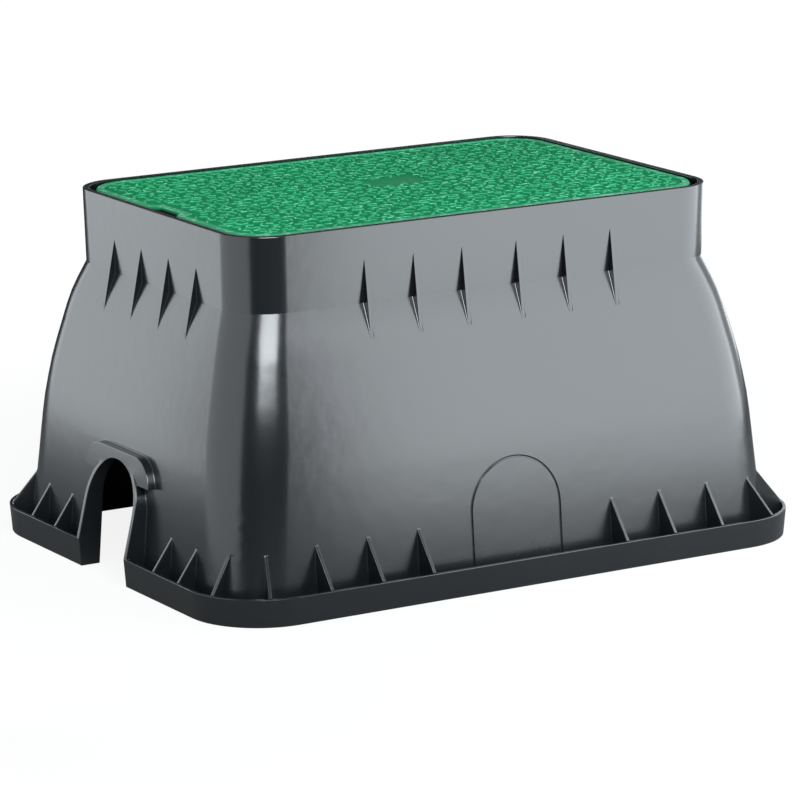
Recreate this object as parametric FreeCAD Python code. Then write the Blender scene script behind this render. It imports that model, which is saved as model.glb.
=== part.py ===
import FreeCAD, Part
import math
import os

# Rectangular inspection box with a drop-in lid. Sizes in millimetres.
# Origin: centre of the foot's underside. +X runs along the long sides, +Z is up.

# Overall heights
box_height = 305.0
collar_height = 63.5
shoulder_drop = 27.0
bend_height = 140.0

# Outside of the upright collar at its top edge, and how much it narrows down to the crease
collar_length = 467.4
collar_width = 309.4
collar_draft = 1.3
collar_corner = 40.0

# How far the flared wall stands out from the crease at the shoulder, and from the collar's top edge
# at the bend and at the ground: on the ends and on the long sides
shoulder_out_x = 10.6
shoulder_out_y = 12.1
bend_out_x = 27.5
bend_out_y = 31.1
ground_out_x = 39.1
ground_out_y = 43.8

# How softly the wall turns at the shoulder and at the bend, and how much its corners grow downwards
shoulder_round = 13.0
bend_round = 34.0
corner_growth = 10.0

# Wall thicknesses
wall = 3.5
collar_lip = 5.5
foot_floor = 3.0
rim_wall = 3.2

# Foot channel: its width outside the wall on the ends and on the long sides, and its upturned rim,
# which leans outwards
channel_x = 15.7
channel_y = 22.5
channel_corner = 16.0
rim_height = 24.0
rim_draft = 2.0

# Ledge inside the collar that carries the lid
ledge_width = 10.0
ledge_thickness = 4.0
ledge_support = 10.0

# Triangular gussets that stand in the foot channel. Each row starts beside a knock-out or a hood and
# ends short of the foot's round corner.
gusset_thickness = 2.8
gusset_top_long = 56.0
gusset_top_end = 50.0
gusset_top_corner = 53.0
long_gusset_count = 3
long_gusset_start = 51.0
long_gusset_end = 30.5
end_gusset_count = 2
end_gusset_start = 31.5
end_gusset_end = 24.0
corner_gusset_angles = (22.5, 67.5)

# Thin fins across the crease under the collar: how far they reach above and below it. The long rows
# stand in two groups with a wider gap between them.
fin_thickness = 2.8
long_fin_pitch = 46.8
long_fin_gap = 53.0
long_fins_per_group = 3
long_fin_rise = 36.5
long_fin_fall = 29.5
end_fin_pitch = 47.6
end_fin_count = 4
end_fin_rise = 28.5
end_fin_fall = 31.5

# Arched pipe openings in the ends. The hood round each one leans back above the rim. A step with round
# shoulders lies over its crown: its reach beside and above the hood, its corners, its drop and how far
# it stands out of the wall.
arch_half_width = 40.0
arch_spring = 59.0
hood_wall = 4.5
hood_lean = 18.0
hood_step_beside = 12.5
hood_step_above = 4.0
hood_step_corner = 26.0
hood_step_drop = 23.5
hood_step_out = 7.0

# Scored arched knock-outs in the long sides
knockout_half_width = 44.0
knockout_spring = 60.5
score_width = 1.4
score_depth = 0.6

# Lid: gap to the collar, depth, thicknesses and the notch for lifting it
lid_gap = 3.5
lid_below_rim = 0.5
lid_depth = 28.0
lid_plate = 4.0
lid_skirt = 2.6
lid_corner_growth = 7.0
lid_edge = 1.5
lid_border = 7.0
lid_field_depth = 0.8
lid_rib_thickness = 2.4
lid_rib_depth = 18.0
lid_ribs_along = 3
lid_ribs_across = 7
notch_width = 52.0
notch_depth = 9.0
notch_slant = 9.0

# How far a cutting shape runs past what it cuts
overcut = 5.0

# Heights and half sizes that follow from the values above
crease_height = box_height - collar_height
shoulder_height = crease_height - shoulder_drop
collar_x = collar_length / 2
collar_y = collar_width / 2
crease_x = collar_x - collar_draft
crease_y = collar_y - collar_draft
ground_x = collar_x + ground_out_x
ground_y = collar_y + ground_out_y
wall_corner = collar_corner + corner_growth
foot_x = ground_x + channel_x
foot_y = ground_y + channel_y
foot_corner = wall_corner + channel_corner
lid_top = box_height - lid_below_rim
ledge_top = lid_top - lid_depth
lid_x = collar_x - collar_lip - lid_gap
lid_y = collar_y - collar_lip - lid_gap
lid_corner = collar_corner - collar_lip - lid_gap + lid_corner_growth
hood_half_width = arch_half_width + hood_wall
hood_top = arch_spring + hood_half_width
hood_step_half = hood_half_width + hood_step_beside


def rounded_wire(half_x, half_y, radius, z):
    """Closed outline of a rectangle with round corners, centred on the axis."""
    corners = (
        (half_x - radius, half_y - radius, 0),
        (radius - half_x, half_y - radius, 90),
        (radius - half_x, radius - half_y, 180),
        (half_x - radius, radius - half_y, 270),
    )
    arcs = []
    for x, y, start in corners:
        points = []
        for angle in (start, start + 45, start + 90):
            turn = math.radians(angle)
            points.append(FreeCAD.Vector(x + radius * math.cos(turn), y + radius * math.sin(turn), z))
        arcs.append(points)
    edges = []
    for index, points in enumerate(arcs):
        following = arcs[(index + 1) % len(arcs)]
        edges.append(Part.Arc(*points).toShape())
        edges.append(Part.LineSegment(points[2], following[0]).toShape())
    return Part.Wire(edges)


def rounded_block(half_x, half_y, radius, low, high):
    """Upright block with round corners between two heights."""
    face = Part.Face(rounded_wire(half_x, half_y, radius, low))
    return face.extrude(FreeCAD.Vector(0, 0, high - low))


def rounded_loft(sections):
    """Solid through sections given as half length, half width, corner radius and height."""
    return Part.makeLoft([rounded_wire(*section) for section in sections], True, True)


def rounded_bend(before, corner, after, reach, share):
    """Point on the curve that rounds a corner of the wall's profile off by reach each way."""
    start = corner + (before - corner).normalize() * reach
    end = corner + (after - corner).normalize() * reach
    return start * (1 - share) ** 2 + corner * 2 * share * (1 - share) + end * share ** 2


def wall_profile():
    """Sections of the flared wall's outside from crease to ground: x, y and z of the two profiles."""
    crease = FreeCAD.Vector(crease_x, crease_y, crease_height)
    shoulder = FreeCAD.Vector(crease_x + shoulder_out_x, crease_y + shoulder_out_y, shoulder_height)
    bend = FreeCAD.Vector(collar_x + bend_out_x, collar_y + bend_out_y, bend_height)
    ground = FreeCAD.Vector(ground_x, ground_y, 0)
    points = [crease]
    points += [rounded_bend(crease, shoulder, bend, shoulder_round, share) for share in (0, 0.5, 1)]
    points += [rounded_bend(shoulder, bend, ground, bend_round, share) for share in (0, 0.25, 0.5, 0.75, 1)]
    points.append(ground)
    return points


def wall_point(z):
    """Half length and half width of the wall's outside at a height, from the nearest sections."""
    points = wall_profile()
    for upper, lower in zip(points, points[1:]):
        if z >= lower.z:
            share = (z - lower.z) / (upper.z - lower.z)
            return lower + (upper - lower) * share
    return points[-1]


def corner_at(z):
    """Corner radius of the wall's outside, which grows from crease to bend."""
    share = (crease_height - z) / (crease_height - bend_height)
    return collar_corner + (wall_corner - collar_corner) * min(max(share, 0), 1)


def flared_solid(inset, below):
    """The flared wall's outline as a solid, made smaller by inset and run on below the ground."""
    sections = []
    for point in wall_profile():
        radius = corner_at(point.z) - inset
        sections.append((point.x - inset, point.y - inset, radius, point.z))
    if below:
        ground = sections[-1]
        sections[-1] = (ground[0], ground[1], ground[2], -below)
    return rounded_loft(sections)


def collar_outline(z):
    """Half length, half width, corner radius and height of the collar's outside."""
    share = (z - crease_height) / collar_height
    return (crease_x + collar_draft * share, crease_y + collar_draft * share, collar_corner, z)


def shrink(section, inset):
    """A section made smaller all round."""
    return (section[0] - inset, section[1] - inset, section[2] - inset, section[3])


def collar_solid():
    """Outside of the upright collar."""
    return rounded_loft([collar_outline(crease_height), collar_outline(box_height)])


def chamber_void():
    """All that is hollow inside the body: the chamber, the way past the ledge and the lid's seat."""
    ledge_low = ledge_top - ledge_thickness
    support_low = ledge_low - ledge_support
    throat = shrink(collar_outline(ledge_low), wall + ledge_width)
    chamber = flared_solid(wall, overcut)
    under_ledge = rounded_loft([
        shrink(collar_outline(crease_height), wall),
        shrink(collar_outline(support_low), wall),
        throat,
    ])
    way = rounded_block(throat[0], throat[1], throat[2], ledge_low, ledge_top)
    seat = rounded_block(
        collar_x - collar_lip,
        collar_y - collar_lip,
        collar_corner - collar_lip,
        ledge_top,
        box_height + overcut,
    )
    return [chamber, under_ledge, way, seat]


def foot_channel():
    """Channel round the foot: a flat floor with an upturned rim."""
    top = (foot_x, foot_y, foot_corner, rim_height)
    sole = (foot_x - rim_draft, foot_y - rim_draft, foot_corner - rim_draft, 0)
    trough = rounded_loft([shrink(sole, rim_wall), shrink(top, rim_wall)])
    above_floor = rounded_block(foot_x, foot_y, foot_corner, foot_floor, rim_height)
    return rounded_loft([sole, top]).cut(trough.common(above_floor))


def upright_plate(outline, thickness, angle, place):
    """Plate that stands square to a wall. Its outline is given as distance outwards and height."""
    points = [FreeCAD.Vector(out, -thickness / 2, z) for out, z in outline]
    face = Part.Face(Part.makePolygon(points + points[:1]))
    plate = face.extrude(FreeCAD.Vector(0, thickness, 0))
    plate.rotate(FreeCAD.Vector(0, 0, 0), FreeCAD.Vector(0, 0, 1), angle)
    plate.translate(place)
    return plate


def gusset_outline(rim_out, wall_out, top):
    """Triangle from the rim's top edge up to the wall, with its foot on the channel's floor."""
    root = wall_out - wall / 2
    lip = rim_out - rim_wall / 2
    floor = foot_floor / 2
    return [(root, floor), (lip - rim_draft, floor), (lip, rim_height), (wall_out, top), (root, top)]


def evenly(first, last, count):
    """Places spread evenly from first to last."""
    return [first + (last - first) * index / (count - 1) for index in range(count)]


def long_gussets():
    """Gussets along both long sides, none in front of the knock-outs."""
    plates = []
    outline = gusset_outline(foot_y, wall_point(gusset_top_long).y, gusset_top_long)
    first = knockout_half_width + long_gusset_start
    last = foot_x - foot_corner - long_gusset_end
    for x in evenly(first, last, long_gusset_count):
        for side_x in (x, -x):
            for angle in (90, -90):
                place = FreeCAD.Vector(side_x, 0, 0)
                plates.append(upright_plate(outline, gusset_thickness, angle, place))
    return plates


def end_gussets():
    """Gussets along both short ends, beside the pipe openings."""
    plates = []
    outline = gusset_outline(foot_x, wall_point(gusset_top_end).x, gusset_top_end)
    first = hood_step_half + end_gusset_start
    last = foot_y - foot_corner - end_gusset_end
    for y in evenly(first, last, end_gusset_count):
        for side_y in (y, -y):
            for angle in (0, 180):
                place = FreeCAD.Vector(0, side_y, 0)
                plates.append(upright_plate(outline, gusset_thickness, angle, place))
    return plates


def corner_gussets():
    """Gussets that fan out round each corner of the foot."""
    plates = []
    point = wall_point(gusset_top_corner)
    radius = corner_at(gusset_top_corner)
    offset = FreeCAD.Vector(foot_x - foot_corner - point.x + radius, foot_y - foot_corner - point.y + radius, 0)
    for angle in corner_gusset_angles:
        turn = math.radians(angle)
        along = offset.x * math.cos(turn) + offset.y * math.sin(turn)
        wall_out = math.sqrt(along ** 2 - offset.Length ** 2 + radius ** 2) - along
        outline = gusset_outline(foot_corner, wall_out, gusset_top_corner)
        for side_x, side_y in ((1, 1), (-1, 1), (-1, -1), (1, -1)):
            place = FreeCAD.Vector(side_x * (foot_x - foot_corner), side_y * (foot_y - foot_corner), 0)
            way = math.degrees(math.atan2(side_y * math.sin(turn), side_x * math.cos(turn)))
            plates.append(upright_plate(outline, gusset_thickness, way, place))
    return plates


def fin_outline(collar_out, low_out, top, bottom):
    """Thin fin with a straight edge from the collar, over the crease, to the flared wall."""
    root = collar_out - wall / 2
    return [(root, top), (collar_out, top), (low_out, bottom), (root, bottom)]


def collar_fins():
    """Rows of fins across the crease on all four sides."""
    plates = []
    top = crease_height + long_fin_rise
    bottom = crease_height - long_fin_fall
    outline = fin_outline(collar_outline(top)[1], wall_point(bottom).y, top, bottom)
    for index in range(long_fins_per_group):
        x = long_fin_gap / 2 + index * long_fin_pitch
        for side_x in (x, -x):
            for angle in (90, -90):
                place = FreeCAD.Vector(side_x, 0, 0)
                plates.append(upright_plate(outline, fin_thickness, angle, place))
    top = crease_height + end_fin_rise
    bottom = crease_height - end_fin_fall
    outline = fin_outline(collar_outline(top)[0], wall_point(bottom).x, top, bottom)
    for index in range(end_fin_count):
        y = (index - (end_fin_count - 1) / 2) * end_fin_pitch
        for angle in (0, 180):
            plates.append(upright_plate(outline, fin_thickness, angle, FreeCAD.Vector(0, y, 0)))
    return plates


def arch_wire(half_width, spring, foot, x):
    """Outline of a round-topped arch that stands across the X axis."""
    left = FreeCAD.Vector(x, half_width, spring)
    right = FreeCAD.Vector(x, -half_width, spring)
    crown = FreeCAD.Vector(x, 0, spring + half_width)
    left_foot = FreeCAD.Vector(x, half_width, foot)
    right_foot = FreeCAD.Vector(x, -half_width, foot)
    return Part.Wire([
        Part.LineSegment(right_foot, right).toShape(),
        Part.Arc(right, crown, left).toShape(),
        Part.LineSegment(left, left_foot).toShape(),
        Part.LineSegment(left_foot, right_foot).toShape(),
    ])


def arch_block(half_width, spring, foot, low, high):
    """Arch-shaped block along the X axis."""
    face = Part.Face(arch_wire(half_width, spring, foot, low))
    return face.extrude(FreeCAD.Vector(high - low, 0, 0))


def step_block():
    """Block along the X axis over one pipe opening, with a flat top and round shoulders."""
    near = crease_x - wall
    top = hood_top + hood_step_above
    flat = hood_step_half - hood_step_corner
    low = top - hood_step_corner
    middle_y = flat + hood_step_corner * math.sin(math.radians(45))
    middle_z = low + hood_step_corner * math.sin(math.radians(45))
    right = [(-hood_step_half, low), (-middle_y, middle_z), (-flat, top)]
    left = [(flat, top), (middle_y, middle_z), (hood_step_half, low)]
    right = [FreeCAD.Vector(near, y, z) for y, z in right]
    left = [FreeCAD.Vector(near, y, z) for y, z in left]
    left_foot = FreeCAD.Vector(near, hood_step_half, 0)
    right_foot = FreeCAD.Vector(near, -hood_step_half, 0)
    outline = Part.Wire([
        Part.LineSegment(right_foot, right[0]).toShape(),
        Part.Arc(*right).toShape(),
        Part.LineSegment(right[2], left[0]).toShape(),
        Part.Arc(*left).toShape(),
        Part.LineSegment(left[2], left_foot).toShape(),
        Part.LineSegment(left_foot, right_foot).toShape(),
    ])
    return Part.Face(outline).extrude(FreeCAD.Vector(foot_x - near, 0, 0))


def hood():
    """Hood round one pipe opening: a tunnel that leans back from the rim and a step against the wall."""
    crown = hood_top + hood_step_above + overcut
    tunnel = arch_block(hood_half_width, arch_spring, 0, crease_x - wall, foot_x)
    lean_top = foot_x - hood_lean * (crown - rim_height) / (arch_spring + arch_half_width - rim_height)
    side = [
        FreeCAD.Vector(0, -foot_y, 0),
        FreeCAD.Vector(foot_x - rim_draft, -foot_y, 0),
        FreeCAD.Vector(foot_x, -foot_y, rim_height),
        FreeCAD.Vector(lean_top, -foot_y, crown),
        FreeCAD.Vector(0, -foot_y, crown),
    ]
    leaning = Part.Face(Part.makePolygon(side + side[:1])).extrude(FreeCAD.Vector(0, 2 * foot_y, 0))
    step_foot = hood_top + hood_step_above - hood_step_drop
    above = Part.makeBox(foot_x, 2 * foot_y, crown, FreeCAD.Vector(0, -foot_y, step_foot))
    step = step_block().common(flared_solid(-hood_step_out, 0)).common(above)
    return tunnel.common(leaning).fuse(step)


def pipe_way():
    """Space that a pipe passes through at one end."""
    return arch_block(arch_half_width, arch_spring, -overcut, crease_x - wall - ledge_width, foot_x + overcut)


def knockout_score():
    """Shallow arched groove in the outside of both long sides."""
    outer = arch_block(knockout_half_width, knockout_spring, foot_floor, -foot_y, foot_y)
    inner = arch_block(knockout_half_width - score_width, knockout_spring, -overcut, -foot_y, foot_y)
    ring = outer.cut(inner)
    ring.rotate(FreeCAD.Vector(0, 0, 0), FreeCAD.Vector(0, 0, 1), 90)
    return ring.common(flared_solid(-score_depth, 0)).cut(flared_solid(score_depth, overcut))


def both_ends(shape):
    """A shape on the +X end and its half turn on the -X end."""
    other = shape.copy()
    other.rotate(FreeCAD.Vector(0, 0, 0), FreeCAD.Vector(0, 0, 1), 180)
    return [shape, other]


def box_body():
    """The whole body, one moulding."""
    added = [collar_solid(), foot_channel()]
    added += both_ends(hood())
    added += long_gussets() + end_gussets() + corner_gussets() + collar_fins()
    solid = flared_solid(0, 0).fuse(added)
    hollows = chamber_void() + both_ends(pipe_way()) + [knockout_score()]
    return solid.cut(hollows).removeSplitter()


def notch_block(width, depth, low, high):
    """Block with slanted ends that reaches in from the lid's -X edge."""
    half = width / 2
    points = [
        FreeCAD.Vector(-lid_x - overcut, -half, low),
        FreeCAD.Vector(-lid_x, -half, low),
        FreeCAD.Vector(depth - lid_x, notch_slant - half, low),
        FreeCAD.Vector(depth - lid_x, half - notch_slant, low),
        FreeCAD.Vector(-lid_x, half, low),
        FreeCAD.Vector(-lid_x - overcut, half, low),
    ]
    face = Part.Face(Part.makePolygon(points + points[:1]))
    return face.extrude(FreeCAD.Vector(0, 0, high - low))


def lid_ribs():
    """Grid of thin ribs under the lid."""
    high = lid_top - lid_plate + lid_field_depth
    low = lid_top - lid_plate - lid_rib_depth
    length = 2 * lid_x
    width = 2 * lid_y
    ribs = []
    for index in range(lid_ribs_along):
        y = width * ((index + 1) / (lid_ribs_along + 1) - 0.5)
        corner = FreeCAD.Vector(-length / 2, y - lid_rib_thickness / 2, low)
        ribs.append(Part.makeBox(length, lid_rib_thickness, high - low, corner))
    for index in range(lid_ribs_across):
        x = length * ((index + 1) / (lid_ribs_across + 1) - 0.5)
        corner = FreeCAD.Vector(x - lid_rib_thickness / 2, -width / 2, low)
        ribs.append(Part.makeBox(lid_rib_thickness, width, high - low, corner))
    return ribs


def lid():
    """The whole lid, one moulding: plate, skirt, ribs, raised border and lifting notch."""
    block = rounded_loft([
        (lid_x, lid_y, lid_corner, ledge_top),
        (lid_x, lid_y, lid_corner, lid_top - lid_edge),
        (lid_x - lid_edge, lid_y - lid_edge, lid_corner - lid_edge, lid_top),
    ])
    hollow = rounded_block(
        lid_x - lid_skirt,
        lid_y - lid_skirt,
        lid_corner - lid_skirt,
        ledge_top - overcut,
        lid_top - lid_plate,
    )
    notch_wall = notch_block(notch_width + 2 * lid_skirt, notch_depth + lid_skirt, ledge_top - 2 * overcut, lid_top)
    hollow = hollow.cut([notch_wall] + lid_ribs())
    field = rounded_block(
        lid_x - lid_border,
        lid_y - lid_border,
        lid_corner - lid_border,
        lid_top - lid_field_depth,
        lid_top + overcut,
    )
    border_at_notch = notch_block(
        notch_width + 2 * lid_border,
        notch_depth + lid_border,
        lid_top - overcut,
        lid_top + 2 * overcut,
    )
    field = field.cut(border_at_notch)
    notch = notch_block(notch_width, notch_depth, ledge_top - overcut, lid_top + overcut)
    return block.cut([hollow, field, notch]).removeSplitter()


def save(shape, name):
    """Writes one piece as a STEP file."""
    solid = shape.Solids[0]
    print(name, "solids", len(shape.Solids), "volume", round(shape.Volume), "valid", shape.isValid())
    solid.exportStep(os.path.join("parts", name + ".step"))


os.makedirs("parts", exist_ok=True)
save(box_body(), "box_body")
save(lid(), "lid")
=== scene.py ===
"""Dresses a packed inspection box: moulded grey body, green anti-slip lid, studio and camera."""

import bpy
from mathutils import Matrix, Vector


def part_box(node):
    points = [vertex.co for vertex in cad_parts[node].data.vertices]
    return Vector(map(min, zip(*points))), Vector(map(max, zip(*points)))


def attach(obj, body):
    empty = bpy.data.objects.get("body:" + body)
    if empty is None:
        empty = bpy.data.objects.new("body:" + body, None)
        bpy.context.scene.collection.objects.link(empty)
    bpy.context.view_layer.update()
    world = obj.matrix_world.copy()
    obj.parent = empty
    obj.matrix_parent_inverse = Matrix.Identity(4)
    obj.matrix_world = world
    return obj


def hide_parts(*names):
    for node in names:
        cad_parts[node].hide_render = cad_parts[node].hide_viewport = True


bl_info = {
    "name": "Inspection box",
    "version": (1, 0, 0),
    "blender": (4, 5, 0),
    "location": "3D View > Sidebar > Inspection box",
    "description": "Moulded plastic body and lid of an inspection box, with a studio to look at it",
    "category": "Object",
}

import math
import random

import bpy
from bpy.props import FloatProperty, FloatVectorProperty, IntProperty, PointerProperty
from mathutils import Matrix, Vector

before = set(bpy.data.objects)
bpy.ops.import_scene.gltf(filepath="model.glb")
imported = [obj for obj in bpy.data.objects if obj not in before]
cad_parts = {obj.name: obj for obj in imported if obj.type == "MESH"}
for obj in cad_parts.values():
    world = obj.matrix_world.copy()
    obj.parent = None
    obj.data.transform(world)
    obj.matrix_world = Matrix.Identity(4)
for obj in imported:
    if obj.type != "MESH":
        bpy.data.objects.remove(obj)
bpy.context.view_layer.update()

lid_low, lid_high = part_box("lid")

# The lid's flat border, the depth of its field below the border, and its corner, in metres
BORDER = 0.007
FIELD_DEPTH = 0.0008
LID_CORNER = 0.038

# Room that the dashes leave round the lifting notch: to each side of the middle, and from the edge
NOTCH_HALF = 0.033
NOTCH_DEPTH = 0.016

# Below the top, where painted shade on the lid's edge begins and where its skirt is painted nearly
# black as shade
SKIRT_SHADE_START = 0.0017
SKIRT_SHADE_END = 0.003

# The bare panel in the lid's middle: its centre, its half sizes, its soft edge and its tint
PANEL_X = 0.010
PANEL_Y = 0.0165
PANEL_HALF_X = 0.027
PANEL_HALF_Y = 0.017
PANEL_BLEND = 0.002
PANEL_TINT = 0.06

# Raised dashes: how their top narrows, their lean, and how far chance turns and shifts them
DASH_TAPER = (0.8, 0.45)
DASH_LEAN = 40
DASH_TURN = 45
DASH_SHIFT = 0.3
DASH_SEED = 7

# The share of its length that a dash keeps clear of the border, and how many corners it has
DASH_MARGIN = 0.42
DASH_CORNERS = 8

# Heights between which the body's foot is a little darker, as painted shade, and a little duller, in
# metres
FOOT_SHADE_DULL_LOW = 0.02
FOOT_SHADE_DULL_HIGH = 0.16

# Depths of the body's flow marks and of its fine grain, in metres
MOTTLE_DEPTH = 0.0001
GRAIN_DEPTH = 0.000004

# How strongly each plastic mirrors, as an index of refraction
BODY_IOR = 1.8
LID_IOR = 1.5

# How the solids' copies are merged, flattened, bevelled and smoothed
MERGE_DISTANCE = 0.00001
FLAT_ANGLE = math.radians(0.3)
BEVEL_ANGLE = math.radians(28)
SMOOTH_ANGLE = math.radians(15)

# The camera: its turn about Z, height angle and roll, its distance, shift and lens
VIEW_TURN = math.radians(-31.1011)
VIEW_RISE = math.radians(13.0126)
VIEW_ROLL = math.radians(-0.4893)
VIEW_DISTANCE = 3.9665
VIEW_RIGHT = 0.0032
VIEW_UP = 0.1122
VIEW_LENS = 205.47

# Softboxes of the studio: setting, place, what it points at, width and height
SOFTBOXES = (
    ("left", (-0.56, 1.17, 0.35), (0, 1.17, 0.35), (1.56, 0.7)),
    ("corner", (-0.56, 0.03, 0.35), (0, 0.03, 0.35), (0.72, 0.7)),
    ("right", (0.755, -0.465, 0.35), (0.53, 0, 0.35), (1.36, 0.68)),
    ("far", (1.3, 0.25, 0.5), (0, 0.25, 0.5), (1.2, 1.0)),
    ("back", (0.95, 0.95, 0.2), (0.1, 0.1, 0.2), (1.4, 0.4)),
    ("front", (-0.62, -1.9, 1.5), (0, 0, 0.2), (1.4, 1.1)),
)
LAMP_COLOUR = (0.9, 0.96, 1.0)

# The floor: its size, the distances between which it fades to plain white, and the light it throws
FLOOR_SIZE = 12
FLOOR_NEAR = 0.4
FLOOR_FAR = 1.1
FLOOR_WHITE = 1.02
FLOOR_GLOW = 0.86
THROWN_NEAR = (0.17, 0.17, 0.17, 1)
THROWN_FAR = (0.03, 0.03, 0.03, 1)


class BodySettings(bpy.types.PropertyGroup):
    """Sizes and colours of the moulded body."""

    colour: FloatVectorProperty(
        name="Colour",
        description="Grey of the moulded body",
        subtype="COLOR",
        size=3,
        min=0,
        max=1,
        default=(0.011, 0.013, 0.015),
    )
    roughness: FloatProperty(
        name="Roughness",
        description="How dull the moulded surface is",
        subtype="FACTOR",
        min=0,
        max=1,
        default=0.2,
    )
    edge: FloatProperty(
        name="Edge round",
        description="Radius that rounds the moulded edges off",
        unit="LENGTH",
        min=0,
        default=0.0006,
    )


class LidSettings(bpy.types.PropertyGroup):
    """Sizes and colours of the lid."""

    colour: FloatVectorProperty(
        name="Colour",
        description="Green of the lid",
        subtype="COLOR",
        size=3,
        min=0,
        max=1,
        default=(0.0, 0.34, 0.12),
    )
    # Painted highlight: light green painted in patches on the dash tops in place of glints
    highlight_green: FloatVectorProperty(
        name="Painted highlight green",
        description="Green of the raised dashes where feet rub them",
        subtype="COLOR",
        size=3,
        min=0,
        max=1,
        default=(0.25, 0.82, 0.5),
    )
    dash_length: FloatProperty(
        name="Dash length",
        description="Length of one raised dash of the anti-slip field",
        unit="LENGTH",
        default=0.0072,
    )
    dash_width: FloatProperty(
        name="Dash width",
        description="Width of one raised dash at its foot",
        unit="LENGTH",
        default=0.0028,
    )
    pitch_along: FloatProperty(
        name="Pitch along",
        description="Distance between dashes along the lid",
        unit="LENGTH",
        default=0.0078,
    )
    pitch_across: FloatProperty(
        name="Pitch across",
        description="Distance between dashes across the lid",
        unit="LENGTH",
        default=0.0090,
    )
    tile: IntProperty(
        name="Motif",
        description="Dashes along one side of the motif that repeats",
        min=2,
        max=12,
        default=12,
    )


class StageSettings(bpy.types.PropertyGroup):
    """Studio light."""

    left: FloatProperty(
        name="Left softbox",
        description="Brightness of the softbox on the left",
        min=0,
        default=2.3,
    )
    corner: FloatProperty(
        name="Corner softbox",
        description="Brightness of the softbox beside the near corner",
        min=0,
        default=1.05,
    )
    right: FloatProperty(
        name="Right softbox",
        description="Brightness of the softbox on the right",
        min=0,
        default=3.8,
    )
    far: FloatProperty(
        name="Far softbox",
        description="Brightness of the softbox beside the far end",
        min=0,
        default=0.8,
    )
    back: FloatProperty(
        name="Back softbox",
        description="Brightness of the low softbox behind the box",
        min=0,
        default=2.0,
    )
    front: FloatProperty(
        name="Front softbox",
        description="Brightness of the softbox above the camera",
        min=0,
        default=9.5,
    )
    ambient: FloatProperty(
        name="Ambient",
        description="Brightness of the room all round",
        min=0,
        default=0.05,
    )


class Wire:
    """A shader socket on which Python maths adds nodes."""

    def __init__(self, finish, socket):
        self.finish = finish
        self.socket = socket

    def maths(self, operation, first, second):
        return self.finish.add("ShaderNodeMath", {"operation": operation}, {0: first, 1: second})

    def __add__(self, other):
        return self.maths("ADD", self, other)

    def __radd__(self, other):
        return self.maths("ADD", other, self)

    def __sub__(self, other):
        return self.maths("SUBTRACT", self, other)

    def __rsub__(self, other):
        return self.maths("SUBTRACT", other, self)

    def __mul__(self, other):
        return self.maths("MULTIPLY", self, other)

    def __rmul__(self, other):
        return self.maths("MULTIPLY", other, self)


class Finish:
    """A material or a world under construction."""

    def __init__(self, block, shader="Principled BSDF"):
        block.use_nodes = True
        self.block = block
        self.tree = block.node_tree
        self.shader = self.tree.nodes[shader]

    def feed(self, socket, value):
        """Gives a socket a link or a plain value."""
        if isinstance(value, Wire):
            self.tree.links.new(value.socket, socket)
        else:
            socket.default_value = value

    def add(self, kind, settings, values, out=0):
        """Adds a node, sets it up, feeds its sockets and returns one of its outputs."""
        node = self.tree.nodes.new(kind)
        for name, value in settings.items():
            setattr(node, name, value)
        for key, value in values.items():
            self.feed(node.inputs[key], value)
        return Wire(self, node.outputs[out])

    def place(self):
        """Object coordinates."""
        return self.add("ShaderNodeTexCoord", {}, {}, "Object")

    def axis(self, name):
        """One of the object coordinates."""
        return self.add("ShaderNodeSeparateXYZ", {}, {0: self.place()}, name)

    def distance(self, name, middle):
        """How far a coordinate is from a middle value."""
        return self.add("ShaderNodeMath", {"operation": "ABSOLUTE"}, {0: self.axis(name) - middle})

    def noise(self, scale, detail=3.0, roughness=0.5):
        """Soft noise from 0 to 1 with a scale in waves a metre."""
        values = {"Vector": self.place(), "Scale": scale, "Detail": detail, "Roughness": roughness}
        return self.add("ShaderNodeTexNoise", {}, values, "Fac")

    def between(self, value, low, high):
        """A value's way from low to high, smooth and held within 0 and 1."""
        settings = {"interpolation_type": "SMOOTHSTEP"}
        values = {"Value": value, "From Min": low, "From Max": high}
        return self.add("ShaderNodeMapRange", settings, values)

    def blend(self, share, first, second):
        """Mix of two colours."""
        return self.add("ShaderNodeMix", {"data_type": "RGBA"}, {0: share, 6: first, 7: second}, 2)

    def bump(self, height, strength, distance):
        """Surface relief."""
        values = {"Height": height, "Strength": strength, "Distance": distance}
        return self.add("ShaderNodeBump", {}, values, "Normal")

    def set(self, name, value):
        """Feeds one of the shader's own sockets."""
        self.feed(self.shader.inputs[name], value)


def shade(colour, factor):
    """A colour made lighter or darker, with alpha."""
    return tuple(min(channel * factor, 1) for channel in colour[:3]) + (1,)


def grey_plastic(settings):
    """Satin moulded plastic with a fine grain, faint flow marks and painted shade towards the foot.
    """
    finish = Finish(bpy.data.materials.new("grey_plastic"))
    flow = finish.noise(9.0, 2.0)
    speckle = finish.noise(260.0, 4.0, 0.6)
    mottle = finish.noise(70.0, 2.0)
    grain = finish.noise(2600.0, 2.0)
    height = finish.axis("Z")
    low = 1 - finish.between(height, FOOT_SHADE_DULL_LOW, FOOT_SHADE_DULL_HIGH)
    base = finish.blend(flow, shade(settings.colour, 0.9), shade(settings.colour, 1.12))
    # Painted shade: the wall's colour darkens towards the foot; the same mask also makes the foot a
    # little rougher
    base = finish.blend(low * 0.35, base, shade(settings.colour, 0.6))
    finish.set("Base Color", base)
    finish.set("Roughness", settings.roughness - 0.04 + flow * 0.05 + speckle * 0.05 + low * 0.05)
    finish.set("Normal", finish.bump(mottle * MOTTLE_DEPTH + grain * GRAIN_DEPTH, 1.0, 1.0))
    finish.set("IOR", BODY_IOR)
    return finish.block


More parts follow.
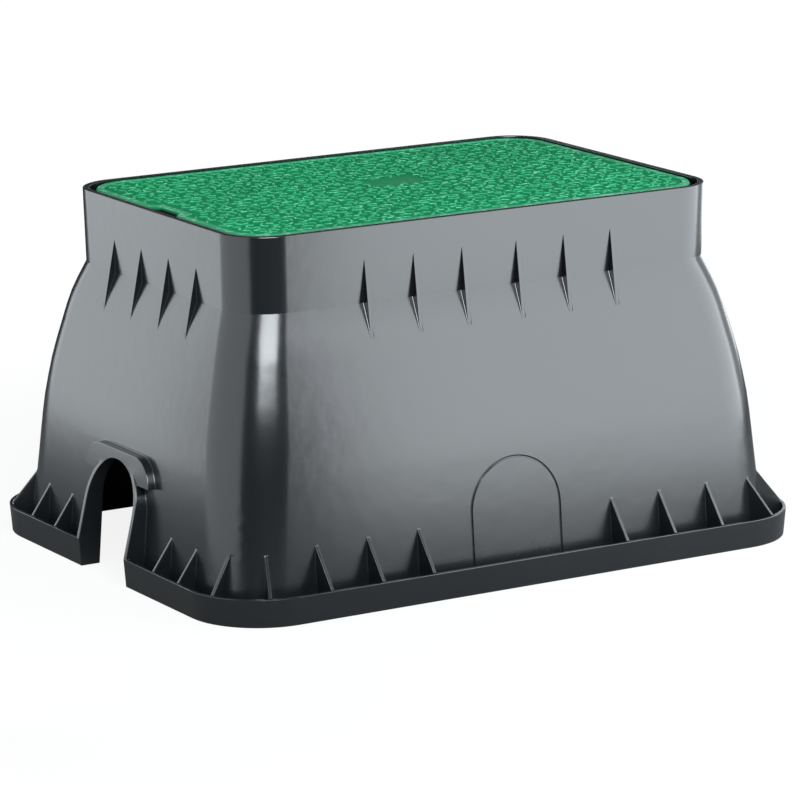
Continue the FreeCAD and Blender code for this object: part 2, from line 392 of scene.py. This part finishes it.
def green_plastic(settings):
    """Satin green plastic, with a painted highlight in patches on the tops of the raised dashes."""
    finish = Finish(bpy.data.materials.new("green_plastic"))
    flow = finish.noise(14.0, 2.0)
    speckle = finish.noise(420.0, 4.0, 0.6)
    height = finish.axis("Z")
    raised = finish.between(height, lid_high.z - FIELD_DEPTH * 0.7, lid_high.z)
    highlight_patches = finish.between(finish.noise(150.0, 3.0, 0.7), 0.5, 0.62)
    highlight_green = shade(settings.highlight_green, 1)
    base = finish.blend(flow, shade(settings.colour, 0.8), shade(settings.colour, 1.2))
    from_x = finish.distance("X", PANEL_X)
    from_y = finish.distance("Y", PANEL_Y)
    panel_x = 1 - finish.between(from_x, PANEL_HALF_X - PANEL_BLEND, PANEL_HALF_X)
    panel_y = 1 - finish.between(from_y, PANEL_HALF_Y - PANEL_BLEND, PANEL_HALF_Y)
    base = finish.blend(panel_x * panel_y * PANEL_TINT, base, highlight_green)
    # Painted highlight: the dash tops turn light green, more strongly in random patches
    base = finish.blend(raised * (0.28 + highlight_patches * 0.72), base, highlight_green)
    # Painted shade: below the top the lid's edge and skirt go nearly black, as in the notch and the
    # gap at the rim
    skirt_shade = 1 - finish.between(height, lid_high.z - SKIRT_SHADE_END, lid_high.z - SKIRT_SHADE_START)
    base = finish.blend(skirt_shade, base, shade(settings.colour, 0.08))
    finish.set("Base Color", base)
    finish.set("Roughness", 0.36 + flow * 0.06 + speckle * 0.08)
    finish.set("Normal", finish.bump(speckle, 0.2, 0.0004))
    finish.set("IOR", LID_IOR)
    return finish.block


def deselect():
    """Leaves nothing selected."""
    bpy.ops.object.select_all(action="DESELECT")


def pick(piece):
    """Makes one object the only one selected and active."""
    deselect()
    piece.select_set(True)
    bpy.context.view_layer.objects.active = piece


def paint(piece, material):
    """Gives a piece one material."""
    piece.data.materials.clear()
    piece.data.materials.append(material)


def seat(piece):
    """Lets a finished piece ride on the box."""
    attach(piece, "root")


def merged_copy(node, name):
    """Copy of a node's mesh with its loose triangles joined into whole faces."""
    piece = bpy.data.objects.new(name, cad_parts[node].data.copy())
    bpy.context.scene.collection.objects.link(piece)
    pick(piece)
    if piece.data.has_custom_normals:
        bpy.ops.mesh.customdata_custom_splitnormals_clear()
    bpy.ops.object.mode_set(mode="EDIT")
    bpy.ops.mesh.select_all(action="SELECT")
    bpy.ops.mesh.remove_doubles(threshold=MERGE_DISTANCE)
    bpy.ops.mesh.dissolve_limited(angle_limit=FLAT_ANGLE)
    bpy.ops.object.mode_set(mode="OBJECT")
    return piece


def round_edges(piece, width):
    """Rounds the sharp edges off and shades the rest smooth."""
    pick(piece)
    bevel = piece.modifiers.new("edges", "BEVEL")
    bevel.width = width
    bevel.segments = 2
    bevel.limit_method = "ANGLE"
    bevel.angle_limit = BEVEL_ANGLE
    bevel.use_clamp_overlap = False
    bpy.ops.object.modifier_apply(modifier=bevel.name)
    bpy.ops.object.shade_smooth_by_angle(angle=SMOOTH_ANGLE)
    weighted = piece.modifiers.new("normals", "WEIGHTED_NORMAL")
    weighted.keep_sharp = True
    bpy.ops.object.modifier_apply(modifier=weighted.name)


def bar(name, size, taper, centre):
    """One raised bar with sloping sides and no underside."""
    deselect()
    bpy.ops.mesh.primitive_cube_add(size=1, location=centre)
    piece = bpy.context.active_object
    piece.name = name
    piece.scale = size
    bpy.ops.object.transform_apply(location=True, rotation=False, scale=True)
    bpy.ops.object.mode_set(mode="EDIT")
    bpy.ops.mesh.select_mode(type="FACE")
    bpy.ops.mesh.select_all(action="DESELECT")
    bpy.ops.object.mode_set(mode="OBJECT")
    for face in piece.data.polygons:
        face.select = face.normal.z > 0.5
    bpy.ops.object.mode_set(mode="EDIT")
    bpy.ops.transform.resize(value=(taper[0], taper[1], 1), center_override=centre)
    bpy.ops.mesh.select_all(action="DESELECT")
    bpy.ops.object.mode_set(mode="OBJECT")
    for face in piece.data.polygons:
        face.select = face.normal.z < -0.5
    bpy.ops.object.mode_set(mode="EDIT")
    bpy.ops.mesh.delete(type="FACE")
    bpy.ops.object.mode_set(mode="OBJECT")
    return piece


def inside_field(x, y, margin):
    """True where a dash stands clear of the lid's border, notch and middle panel."""
    half_x = lid_high.x - BORDER - margin
    half_y = lid_high.y - BORDER - margin
    corner = LID_CORNER - BORDER
    if abs(x) > half_x or abs(y) > half_y:
        return False
    reach_x = abs(x) - half_x + corner
    reach_y = abs(y) - half_y + corner
    if reach_x > 0 and reach_y > 0 and math.hypot(reach_x, reach_y) > corner:
        return False
    if x < lid_low.x + NOTCH_DEPTH + margin and abs(y) < NOTCH_HALF + margin:
        return False
    return abs(x - PANEL_X) > PANEL_HALF_X or abs(y - PANEL_Y) > PANEL_HALF_Y


def cut_outside(piece, margin):
    """Removes each dash whose middle lies outside the field."""
    mesh = piece.data
    pick(piece)
    bpy.ops.object.mode_set(mode="EDIT")
    bpy.ops.mesh.select_mode(type="VERT")
    bpy.ops.object.mode_set(mode="OBJECT")
    for first in range(0, len(mesh.vertices), DASH_CORNERS):
        corners = mesh.vertices[first:first + DASH_CORNERS]
        x = sum(corner.co.x for corner in corners) / DASH_CORNERS
        y = sum(corner.co.y for corner in corners) / DASH_CORNERS
        for corner in corners:
            corner.select = not inside_field(x, y, margin)
    bpy.ops.object.mode_set(mode="EDIT")
    bpy.ops.mesh.delete(type="VERT")
    bpy.ops.object.mode_set(mode="OBJECT")


def softbox(name, place, aim, size, brightness):
    """Rectangular lamp that points at a place and isn't seen by the camera."""
    data = bpy.data.lights.new(name, "AREA")
    data.shape = "RECTANGLE"
    data.size = size[0]
    data.size_y = size[1]
    data.energy = brightness * math.pi * size[0] * size[1]
    data.color = LAMP_COLOUR
    lamp = bpy.data.objects.new(name, data)
    bpy.context.scene.collection.objects.link(lamp)
    lamp.location = place
    lamp.rotation_euler = (Vector(aim) - Vector(place)).to_track_quat("-Z", "Y").to_euler()
    lamp.visible_camera = False


class BOX_OT_body(bpy.types.Operator):
    """Dress the moulded body"""

    bl_idname = "inspection_box.body"
    bl_label = "Body"

    def execute(self, context):
        settings = context.scene.box_body_settings
        piece = merged_copy("box_body", "moulded_body")
        round_edges(piece, settings.edge)
        paint(piece, grey_plastic(settings))
        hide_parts("box_body")
        seat(piece)
        return {"FINISHED"}


class BOX_OT_lid(bpy.types.Operator):
    """Dress the lid"""

    bl_idname = "inspection_box.lid"
    bl_label = "Lid"

    def execute(self, context):
        settings = context.scene.box_lid_settings
        piece = merged_copy("lid", "moulded_lid")
        round_edges(piece, context.scene.box_body_settings.edge)
        paint(piece, green_plastic(settings))
        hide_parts("lid")
        seat(piece)
        return {"FINISHED"}


class BOX_OT_relief(bpy.types.Operator):
    """Cover the lid's field with small raised dashes"""

    bl_idname = "inspection_box.relief"
    bl_label = "Anti-slip relief"

    def execute(self, context):
        settings = context.scene.box_lid_settings
        motif_x = settings.tile * settings.pitch_along
        motif_y = settings.tile * settings.pitch_across
        along = int(2 * lid_high.x / motif_x) + 2
        across = int(2 * lid_high.y / motif_y) + 2
        dashes = self.motif(settings, -along * motif_x / 2, -across * motif_y / 2)
        piece = dashes[0]
        pick(piece)
        for dash in dashes:
            dash.select_set(True)
        bpy.ops.object.join()
        piece.name = "lid_relief"
        for count, step in ((along, (motif_x, 0, 0)), (across, (0, motif_y, 0))):
            array = piece.modifiers.new("repeat", "ARRAY")
            array.use_relative_offset = False
            array.use_constant_offset = True
            array.constant_offset_displace = step
            array.count = count
            bpy.ops.object.modifier_apply(modifier=array.name)
        cut_outside(piece, settings.dash_length * DASH_MARGIN)
        paint(piece, bpy.data.objects["moulded_lid"].data.materials[0])
        seat(piece)
        return {"FINISHED"}

    def motif(self, settings, start_x, start_y):
        """Dashes of the patch that repeats, each turned and shifted by chance."""
        chance = random.Random(DASH_SEED)
        size = (settings.dash_length, settings.dash_width, FIELD_DEPTH)
        first = bar("lid_relief", size, DASH_TAPER, (0, 0, 0))
        dashes = []
        for row in range(settings.tile):
            for column in range(settings.tile):
                dash = first.copy()
                dash.data = first.data.copy()
                bpy.context.scene.collection.objects.link(dash)
                lean = DASH_LEAN if (row + column) % 2 else -DASH_LEAN
                turn = math.radians(lean + chance.uniform(-DASH_TURN, DASH_TURN))
                shift_x = chance.uniform(-DASH_SHIFT, DASH_SHIFT)
                shift_y = chance.uniform(-DASH_SHIFT, DASH_SHIFT)
                x = start_x + (column + 0.5 + shift_x) * settings.pitch_along
                y = start_y + (row + 0.5 + shift_y) * settings.pitch_across
                z = lid_high.z - FIELD_DEPTH / 2
                dash.data.transform(Matrix.Translation((x, y, z)) @ Matrix.Rotation(turn, 4, "Z"))
                dashes.append(dash)
        bpy.data.objects.remove(first)
        return dashes


class BOX_OT_stage(bpy.types.Operator):
    """Set up the floor, the softboxes and the camera"""

    bl_idname = "inspection_box.stage"
    bl_label = "Studio"

    def execute(self, context):
        settings = context.scene.box_stage_settings
        self.floor()
        self.world(settings)
        for name, place, aim, size in SOFTBOXES:
            softbox(f"{name}_softbox", place, aim, size, getattr(settings, name))
        self.camera()
        context.scene.view_settings.view_transform = "Standard"
        return {"FINISHED"}

    def floor(self):
        """Pale floor that the camera sees as white, with the box's shadow."""
        deselect()
        bpy.ops.mesh.primitive_plane_add(size=FLOOR_SIZE, location=(0, 0, 0))
        plane = bpy.context.active_object
        plane.name = "studio_floor"
        bpy.ops.object.mode_set(mode="EDIT")
        bpy.ops.mesh.subdivide(number_cuts=3)
        bpy.ops.object.mode_set(mode="OBJECT")
        finish = Finish(bpy.data.materials.new("studio_floor"))
        seen = finish.add("ShaderNodeLightPath", {}, {}, "Is Camera Ray")
        finish.set("Roughness", 0.9)
        glow = {"Color": (1, 1, 1, 1), "Strength": FLOOR_WHITE}
        white = finish.add("ShaderNodeEmission", {}, glow)
        length = {"operation": "LENGTH"}
        away = finish.add("ShaderNodeVectorMath", length, {0: finish.place()}, "Value")
        far = finish.between(away, FLOOR_NEAR, FLOOR_FAR)
        thrown = finish.blend(far, THROWN_NEAR, THROWN_FAR)
        finish.set("Base Color", finish.blend(seen, thrown, (0.9, 0.9, 0.9, 1)))
        lit = Wire(finish, finish.shader.outputs[0])
        share = seen * (FLOOR_GLOW + far * (1 - FLOOR_GLOW))
        mixed = finish.add("ShaderNodeMixShader", {}, {0: share, 1: lit, 2: white})
        output = finish.tree.nodes["Material Output"]
        finish.feed(output.inputs["Surface"], mixed)
        paint(plane, finish.block)

    def world(self, settings):
        """White to the camera, dim to everything else."""
        room = Finish(bpy.data.worlds.new("studio_world"), "Background")
        bpy.context.scene.world = room.block
        seen = room.add("ShaderNodeLightPath", {}, {}, "Is Camera Ray")
        levels = {"Value": seen, "To Min": settings.ambient, "To Max": 1}
        room.set("Color", (1, 1, 1, 1))
        room.set("Strength", room.add("ShaderNodeMapRange", {}, levels))

    def camera(self):
        """Camera at the photograph's angle."""
        flat = math.cos(VIEW_RISE)
        back = Vector((math.sin(VIEW_TURN) * flat, -math.cos(VIEW_TURN) * flat, math.sin(VIEW_RISE)))
        right = Vector((math.cos(VIEW_TURN), math.sin(VIEW_TURN), 0))
        up = back.cross(right)
        across = right * math.cos(VIEW_ROLL) + up * math.sin(VIEW_ROLL)
        upright = up * math.cos(VIEW_ROLL) - right * math.sin(VIEW_ROLL)
        place = back * VIEW_DISTANCE + across * VIEW_RIGHT + upright * VIEW_UP
        data = bpy.data.cameras.new("view_camera")
        data.lens = VIEW_LENS
        data.sensor_width = 36
        data.clip_end = 50
        camera = bpy.data.objects.new("view_camera", data)
        bpy.context.scene.collection.objects.link(camera)
        turn = Matrix((across, upright, back)).transposed().to_4x4()
        camera.matrix_world = Matrix.Translation(place) @ turn
        bpy.context.scene.camera = camera


class BOX_PT_panel(bpy.types.Panel):
    """Lists the pieces of the box"""

    bl_idname = "BOX_PT_panel"
    bl_label = "Inspection box"
    bl_space_type = "VIEW_3D"
    bl_region_type = "UI"
    bl_category = "Inspection box"

    def draw(self, context):
        for settings in ("box_body_settings", "box_lid_settings", "box_stage_settings"):
            group = getattr(context.scene, settings)
            for name in group.bl_rna.properties.keys():
                if name not in ("name", "rna_type"):
                    self.layout.prop(group, name)
        for step in STEPS:
            self.layout.operator(step)


STEPS = (
    "inspection_box.body",
    "inspection_box.lid",
    "inspection_box.relief",
    "inspection_box.stage",
)

CLASSES = (
    BodySettings,
    LidSettings,
    StageSettings,
    BOX_OT_body,
    BOX_OT_lid,
    BOX_OT_relief,
    BOX_OT_stage,
    BOX_PT_panel,
)


def register():
    for item in CLASSES:
        bpy.utils.register_class(item)
    bpy.types.Scene.box_body_settings = PointerProperty(type=BodySettings)
    bpy.types.Scene.box_lid_settings = PointerProperty(type=LidSettings)
    bpy.types.Scene.box_stage_settings = PointerProperty(type=StageSettings)


def unregister():
    del bpy.types.Scene.box_stage_settings
    del bpy.types.Scene.box_lid_settings
    del bpy.types.Scene.box_body_settings
    for item in reversed(CLASSES):
        bpy.utils.unregister_class(item)


def main():
    register()
    for step in STEPS:
        group, name = step.split(".")
        getattr(getattr(bpy.ops, group), name)()


if __name__ == "__main__":
    main()
